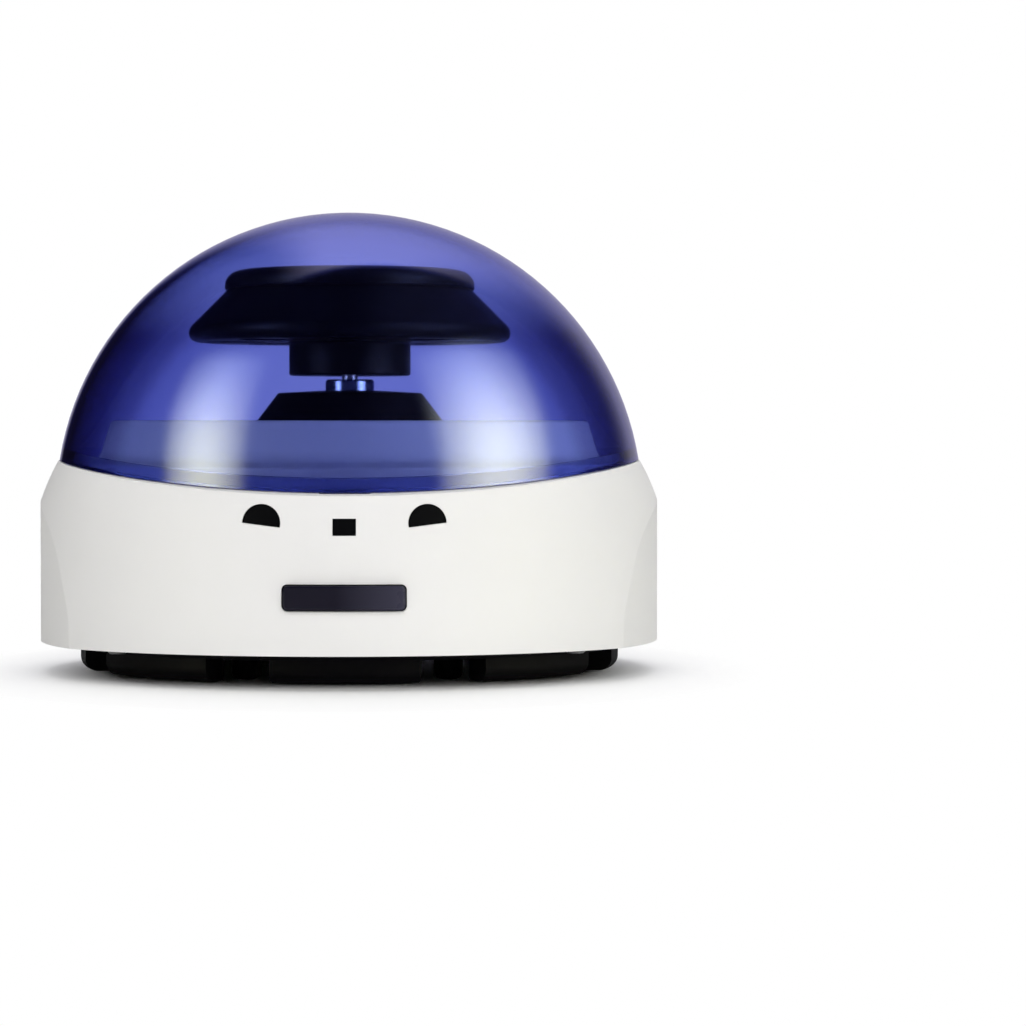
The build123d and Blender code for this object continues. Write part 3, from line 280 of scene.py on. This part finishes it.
def plastic(name, tone, vary, rough, grain, depth, gloss=0.5):
    """Moulded plastic: slightly uneven tone and gloss, and the fine grain of its mould."""
    material, tree, shader, _ = new_material(name)
    dark = tuple(part * (1 - vary) for part in tone)
    light = tuple(min(1.0, part * (1 + vary)) for part in tone)
    shade = spread(tree, noise(tree, PLASTIC_SHADE), 0.0, 1.0)
    tree.links.new(mixed(tree, shade, dark, light), shader.inputs["Base Color"])
    smooth = rough * (1 - PLASTIC_GLOSS_VARY)
    coarse = rough * (1 + PLASTIC_GLOSS_VARY)
    uneven = spread(tree, noise(tree, PLASTIC_GLOSS, 4.0), smooth, coarse)
    tree.links.new(uneven, shader.inputs["Roughness"])
    shader.inputs["IOR"].default_value = PLASTIC_IOR
    shader.inputs["Specular IOR Level"].default_value = gloss
    waves = bump(tree, shader, noise(tree, PLASTIC_WAVES, 2.0), PLASTIC_WAVE_DEPTH)
    bump(tree, shader, noise(tree, grain, 2.0), depth, under=waves)
    return material


def button_plastic():
    """Glossy black plastic with a painted sheen that makes it a little paler towards its right end."""
    material = plastic(
        "button_black", BUTTON_DARK, vary=0.1, rough=0.3, grain=2600.0, depth=0.000004, gloss=0.14
    )
    tree = material.node_tree
    shader = tree.nodes["Principled BSDF"]
    across, _, _ = parts_of(tree, object_place(tree))
    # Painted sheen: the right end is made paler in the colour itself, standing in for light falling on it
    pale = spread(tree, across, 0.0, 1.0, *BUTTON_SHEEN_TURN)
    tree.links.new(mixed(tree, pale, BUTTON_DARK, BUTTON_PAINTED_SHEEN), shader.inputs["Base Color"])
    return material


def metal(name, tone, rough, brushed=None):
    """Bare metal with faint marks along one direction or evenly."""
    material, tree, shader, _ = new_material(name)
    dark = tuple(part * METAL_DARK for part in tone)
    shade = spread(tree, noise(tree, METAL_SHADE), 0.0, 1.0)
    tree.links.new(mixed(tree, shade, dark, tone), shader.inputs["Base Color"])
    shader.inputs["Metallic"].default_value = 1.0
    marks = noise(tree, METAL_MARKS, roughness=0.6, stretch=brushed)
    smooth, coarse = (rough * share for share in METAL_ROUGH)
    tree.links.new(spread(tree, marks, smooth, coarse), shader.inputs["Roughness"])
    bump(tree, shader, marks, METAL_MARK_DEPTH)
    return material


def dome_plastic():
    """Clear violet-blue plastic whose own colour takes up more light where it is thicker, with a painted top
    light that keeps its crown clear.
    """
    material, tree, shader, output = new_material("dome_violet")
    shader.inputs["Transmission Weight"].default_value = 1.0
    shader.inputs["IOR"].default_value = DOME_IOR
    shader.inputs["Roughness"].default_value = DOME_ROUGH
    facing = tree.nodes.new("ShaderNodeLayerWeight")
    facing.inputs["Blend"].default_value = 0.5
    ramp = tree.nodes.new("ShaderNodeValToRGB")
    ramp.color_ramp.interpolation = "EASE"
    while len(ramp.color_ramp.elements) < len(DOME_STEPS):
        ramp.color_ramp.elements.new(0.5)
    for element, (position, tone) in zip(ramp.color_ramp.elements, DOME_STEPS):
        element.position = position
        element.color = (*tone, 1.0)
    tree.links.new(facing.outputs["Facing"], ramp.inputs["Fac"])
    _, _, height = parts_of(tree, object_place(tree))
    # Painted top light: towards the crown the edge darkening fades out to clear, so the top looks lit from
    # above
    crown = spread(tree, height, 0.0, 1.0, *DOME_PAINTED_TOP_LIGHT)
    tree.links.new(mixed(tree, crown, ramp.outputs["Color"], WHITE), shader.inputs["Base Color"])
    inside = tree.nodes.new("ShaderNodeVolumeAbsorption")
    inside.inputs["Color"].default_value = (*DOME_TINT, 1.0)
    inside.inputs["Density"].default_value = DOME_DENSITY
    tree.links.new(inside.outputs["Volume"], output.inputs["Volume"])
    bump(tree, shader, noise(tree, DOME_WAVES, 2.0), DOME_WAVE_DEPTH)
    return material


def circuit_board():
    """Green solder mask over faint copper tracks."""
    material, tree, shader, _ = new_material("board_green")
    wave = tree.nodes.new("ShaderNodeTexWave")
    wave.inputs["Scale"].default_value = TRACK_CELLS
    wave.inputs["Distortion"].default_value = TRACK_BEND
    tree.links.new(object_place(tree), wave.inputs["Vector"])
    tracks = spread(tree, wave.outputs["Fac"], 0.0, 1.0, *TRACK_EDGE)
    tree.links.new(mixed(tree, tracks, MASK_DARK, MASK_LIGHT), shader.inputs["Base Color"])
    shader.inputs["Roughness"].default_value = MASK_ROUGH
    bump(tree, shader, tracks, TRACK_DEPTH)
    return material


# How a metal's marks are stretched: along its axis, or round it as turning leaves them
ALONG_Z = (1.0, 1.0, 0.05)
ROUND_Z = (0.05, 0.05, 1.0)
TURNED_Z = (0.1, 0.1, 1.0)

materials = {
    "shell_white": plastic(
        "shell_white", (0.862, 0.852, 0.853), vary=0.012, rough=0.5, grain=1500.0, depth=0.000006, gloss=0.07
    ),
    "liner_white": plastic(
        "liner_white", (0.84, 0.84, 0.83), vary=0.012, rough=0.45, grain=1800.0, depth=0.000006, gloss=0.15
    ),
    "black_plastic": plastic(
        "black_plastic", (0.004, 0.0035, 0.006), vary=0.15, rough=0.6, grain=1800.0, depth=0.00002, gloss=0.05
    ),
    "rotor_black": plastic(
        "rotor_black", (0.004, 0.004, 0.006), vary=0.15, rough=0.4, grain=2200.0, depth=0.00001, gloss=0.12
    ),
    "button_black": button_plastic(),
    "window_dark": plastic(
        "window_dark", (0.003, 0.003, 0.004), vary=0.1, rough=0.4, grain=2600.0, depth=0.000004, gloss=0.012
    ),
    "inner_plastic": plastic(
        "inner_plastic", (0.06, 0.06, 0.065), vary=0.1, rough=0.5, grain=1500.0, depth=0.00002
    ),
    "rubber_black": plastic(
        "rubber_black", (0.006, 0.006, 0.007), vary=0.2, rough=0.75, grain=2500.0, depth=0.00003, gloss=0.1
    ),
    "capacitor_black": plastic(
        "capacitor_black", (0.01, 0.01, 0.014), vary=0.1, rough=0.25, grain=1500.0, depth=0.00001
    ),
    "steel": metal("steel", (0.56, 0.56, 0.57), rough=0.28, brushed=ALONG_Z),
    "motor_steel": metal("motor_steel", (0.48, 0.48, 0.49), rough=0.36, brushed=ALONG_Z),
    "collar_chrome": metal("collar_chrome", (0.30, 0.35, 0.47), rough=0.14, brushed=ROUND_Z),
    "insert_aluminium": metal("insert_aluminium", (0.72, 0.72, 0.74), rough=0.3, brushed=TURNED_Z),
    "regulator_aluminium": metal("regulator_aluminium", (0.6, 0.6, 0.62), rough=0.35),
    "nut_brass": metal("nut_brass", (0.62, 0.60, 0.54), rough=0.25),
    "magnet": metal("magnet", (0.62, 0.62, 0.64), rough=0.2),
    "dome_violet": dome_plastic(),
    "board_green": circuit_board(),
}

for row in frame["record"]["subparts"]:
    for material_slot in nodes[row["node"]].material_slots:
        material_slot.material = materials[row["material_slot"]]


def coil_spring():
    """Wound spring of the latch in place of the plain sleeve, fixed to the base."""
    low, high = (Vector(corner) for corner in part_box("latch_spring"))
    centre = (low + high) / 2
    radius = (high.x - low.x - SPRING_WIRE) / 2
    length = high.y - low.y - SPRING_WIRE
    count = round(SPRING_TURNS * SPRING_STEPS)
    flat = round(SPRING_FLAT_TURNS * SPRING_STEPS)
    rise = (length - 2 * SPRING_WIRE) / (count - 2 * flat)
    mesh = bmesh.new()
    rings = []
    along = low.y + SPRING_WIRE / 2
    for step in range(count + 1):
        turn = 2 * math.pi * step / SPRING_STEPS
        outward = Vector((math.cos(turn), 0, math.sin(turn)))
        middle = Vector((centre.x, along, centre.z)) + outward * radius
        ring = []
        for side in range(WIRE_SIDES):
            angle = 2 * math.pi * side / WIRE_SIDES
            offset = outward * math.cos(angle) + Vector((0, math.sin(angle), 0))
            ring.append(mesh.verts.new(middle + offset * SPRING_WIRE / 2))
        rings.append(ring)
        ends = step < flat or step >= count - flat
        along += SPRING_WIRE / flat if ends else rise
    for first, second in zip(rings, rings[1:]):
        for side in range(WIRE_SIDES):
            after = (side + 1) % WIRE_SIDES
            mesh.faces.new((first[side], first[after], second[after], second[side]))
    mesh.faces.new(rings[0][::-1])
    mesh.faces.new(rings[-1])
    bmesh.ops.recalc_face_normals(mesh, faces=mesh.faces)
    for face in mesh.faces:
        face.smooth = len(face.verts) == 4
    data = bpy.data.meshes.new("latch_spring_coil")
    mesh.to_mesh(data)
    mesh.free()
    data.materials.append(materials["steel"])
    thing = bpy.data.objects.new("latch_spring_coil", data)
    bpy.context.scene.collection.objects.link(thing)
    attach(thing, "base")
    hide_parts("latch_spring")
    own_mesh(thing)


def straight(tree):
    """1 for the eye itself and for a path that has met only clear walls, else 0."""
    path = tree.nodes.new("ShaderNodeLightPath")
    depth = math_node(tree, "ADD", path.outputs["Glossy Depth"], path.outputs["Diffuse Depth"])
    unbroken = math_node(tree, "SUBTRACT", 1.0, math_node(tree, "MINIMUM", depth, 1.0))
    through = math_node(tree, "MULTIPLY", path.outputs["Is Transmission Ray"], unbroken)
    return math_node(tree, "MAXIMUM", path.outputs["Is Camera Ray"], through)


def floor():
    """Large pale floor that keeps the shadow, turns plain white further out and is clear from below."""
    mesh = bpy.data.meshes.new("floor")
    sheet = bmesh.new()
    bmesh.ops.create_grid(sheet, x_segments=4, y_segments=4, size=FLOOR_SIZE)
    sheet.to_mesh(mesh)
    sheet.free()
    thing = bpy.data.objects.new("floor", mesh)
    bpy.context.scene.collection.objects.link(thing)
    material, tree, shader, output = new_material("floor_white")
    tone = mixed(tree, noise(tree, FLOOR_CELLS), FLOOR_DARK, FLOOR_LIGHT)
    tree.links.new(tone, shader.inputs["Base Color"])
    shader.inputs["Roughness"].default_value = FLOOR_ROUGH
    shader.inputs["Specular IOR Level"].default_value = FLOOR_GLOSS
    white = tree.nodes.new("ShaderNodeEmission")
    oval = tree.nodes.new("ShaderNodeVectorMath")
    oval.operation = "MULTIPLY"
    oval.inputs[1].default_value = FLOOR_OVAL
    tree.links.new(object_place(tree), oval.inputs[0])
    away = tree.nodes.new("ShaderNodeVectorMath")
    away.operation = "LENGTH"
    tree.links.new(oval.outputs["Vector"], away.inputs[0])
    far = spread(tree, away.outputs["Value"], 0.0, 1.0, *FLOOR_WHITE)
    plain = math_node(tree, "MULTIPLY", far, straight(tree))
    fade = tree.nodes.new("ShaderNodeMixShader")
    tree.links.new(plain, fade.inputs["Fac"])
    tree.links.new(shader.outputs["BSDF"], fade.inputs[1])
    tree.links.new(white.outputs["Emission"], fade.inputs[2])
    clear = tree.nodes.new("ShaderNodeBsdfTransparent")
    side = tree.nodes.new("ShaderNodeNewGeometry")
    mix = tree.nodes.new("ShaderNodeMixShader")
    tree.links.new(side.outputs["Backfacing"], mix.inputs["Fac"])
    tree.links.new(fade.outputs["Shader"], mix.inputs[1])
    tree.links.new(clear.outputs["BSDF"], mix.inputs[2])
    tree.links.new(mix.outputs["Shader"], output.inputs["Surface"])
    mesh.materials.append(material)


def lamp(name, azimuth, elevation, distance, width, height, level):
    """Square lamp that faces the object and can't be seen, whose level is its light on the object."""
    data = bpy.data.lights.new(name, "AREA")
    data.shape = "RECTANGLE"
    data.size = width
    data.size_y = height
    data.energy = LAMP_POWER * level * distance**2
    thing = bpy.data.objects.new(name, data)
    bpy.context.scene.collection.objects.link(thing)
    turn, rise = math.radians(azimuth), math.radians(elevation)
    away = Vector((math.sin(turn) * math.cos(rise), -math.cos(turn) * math.cos(rise), math.sin(rise)))
    thing.location = Vector((0, 0, LAMP_AIM)) + away * distance
    thing.rotation_euler = away.to_track_quat("Z", "Y").to_euler()
    thing.visible_camera = False
    data.use_nodes = True
    return thing, data.node_tree, data.node_tree.nodes["Emission"]


def fill(name, azimuth, elevation, distance, width, height, level):
    """Lamp for matt surfaces only."""
    thing, _, _ = lamp(name, azimuth, elevation, distance, width, height, level)
    thing.visible_glossy = False
    thing.visible_transmission = False


def glow(name, azimuth, elevation, distance, width, height, peak, low, lean):
    """Lamp for gloss only that leans back, brightest at a height of its own and fading to its edges."""
    level = peak * width * height / distance**2
    thing, tree, shine = lamp(name, azimuth, elevation, distance, width, height, level)
    thing.visible_diffuse = False
    thing.rotation_euler.rotate_axis("Z", math.radians(lean))
    sideways, upward, _ = parts_of(tree, tree.nodes.new("ShaderNodeNewGeometry").outputs["Parametric"])
    aside = math_node(tree, "SUBTRACT", sideways, LAMP_MIDDLE)
    across = math_node(tree, "DIVIDE", aside, LAMP_ACROSS)
    up = math_node(tree, "DIVIDE", math_node(tree, "SUBTRACT", upward, low), LAMP_UP)
    square = math_node(tree, "ADD", math_node(tree, "POWER", across, 2.0), math_node(tree, "POWER", up, 2.0))
    bell = math_node(tree, "EXPONENT", math_node(tree, "MULTIPLY", square, -0.5))
    sides = soft(tree, math_node(tree, "ABSOLUTE", aside), LAMP_SIDES)
    ends = math_node(tree, "MULTIPLY", sides, soft(tree, upward, LAMP_TOP))
    shape = math_node(tree, "MULTIPLY", bell, ends)
    unseen = math_node(tree, "SUBTRACT", 1.0, straight(tree))
    tree.links.new(math_node(tree, "MULTIPLY", shape, unseen), shine.inputs["Strength"])
    height_share = spread(tree, upward, 0.0, 1.0, LAMP_MIDDLE, 1.0)
    tree.links.new(mixed(tree, height_share, LAMP_LOW, LAMP_HIGH), shine.inputs["Color"])


def world():
    """White to the eye and through clear walls, a pale wall behind for gloss, an even light for matt."""
    sky = bpy.data.worlds.new("studio")
    bpy.context.scene.world = sky
    sky.use_nodes = True
    tree = sky.node_tree
    tree.nodes.clear()
    output = tree.nodes.new("ShaderNodeOutputWorld")
    back = tree.nodes.new("ShaderNodeBackground")
    path = tree.nodes.new("ShaderNodeLightPath")
    across, along, up = parts_of(tree, tree.nodes.new("ShaderNodeTexCoord").outputs["Generated"])

    leaning_top = math_node(tree, "ADD", along, math_node(tree, "MULTIPLY", across, WALL_TOP_LEAN))
    leaning_side = math_node(tree, "ADD", across, math_node(tree, "MULTIPLY", up, WALL_RIGHT_LEAN))
    band = soft(tree, leaning_top, WALL_TOP)
    band = math_node(tree, "MULTIPLY", band, soft(tree, across, WALL_LEFT))
    band = math_node(tree, "MULTIPLY", band, soft(tree, leaning_side, WALL_RIGHT))
    band = math_node(tree, "MAXIMUM", band, soft(tree, along, WALL_BACK))
    room = mixed(tree, soft(tree, across, ROOM_RIGHT), ROOM_DARK, ROOM_PALE)
    wall = mixed(tree, spread(tree, up, 0.0, 1.0, *WALL_RISE), WALL_LOW, WALL_HIGH)
    gloss = mixed(tree, band, room, wall)

    matt = mixed(tree, soft(tree, across, AROUND_LEFT), AROUND_DARK, AROUND_TONE)
    shiny = math_node(tree, "MAXIMUM", path.outputs["Is Glossy Ray"], path.outputs["Is Transmission Ray"])
    total = mixed(tree, straight(tree), mixed(tree, shiny, matt, gloss), WHITE)
    tree.links.new(total, back.inputs["Color"])
    tree.links.new(back.outputs["Background"], output.inputs["Surface"])


def camera():
    """Camera at the photograph's place, a little to the right of the front and looking past the object."""
    data = bpy.data.cameras.new("camera")
    data.sensor_width = SENSOR
    data.lens = LENS_PIXELS / PHOTO_WIDTH * SENSOR
    data.clip_start = 0.01
    data.clip_end = 100.0
    thing = bpy.data.objects.new("camera", data)
    bpy.context.scene.collection.objects.link(thing)
    thing.location = (
        DISTANCE * math.sin(VIEW_AZIMUTH),
        -DISTANCE * math.cos(VIEW_AZIMUTH),
        EYE_HEIGHT,
    )
    heading = LOOK_RIGHT - VIEW_AZIMUTH
    look = Vector(
        (
            math.sin(heading) * math.cos(LOOK_DOWN),
            math.cos(heading) * math.cos(LOOK_DOWN),
            -math.sin(LOOK_DOWN),
        )
    )
    thing.rotation_euler = look.to_track_quat("-Z", "Y").to_euler()
    bpy.context.scene.camera = thing


coil_spring()
floor()
world()
camera()
fill("fill_top", azimuth=180, elevation=74, distance=1.5, width=1.2, height=1.0, level=1.45)
fill("fill_front", azimuth=2, elevation=30, distance=1.8, width=1.6, height=1.2, level=1.31)
glow(
    "glow_left", azimuth=-60, elevation=22, distance=1.6, width=1.25, height=2.2, peak=11.5, low=0.32, lean=14
)
glow(
    "glow_right", azimuth=63, elevation=24, distance=1.6, width=1.8, height=2.3, peak=12.5, low=0.34, lean=-14
)

bpy.context.scene.view_settings.view_transform = "Standard"
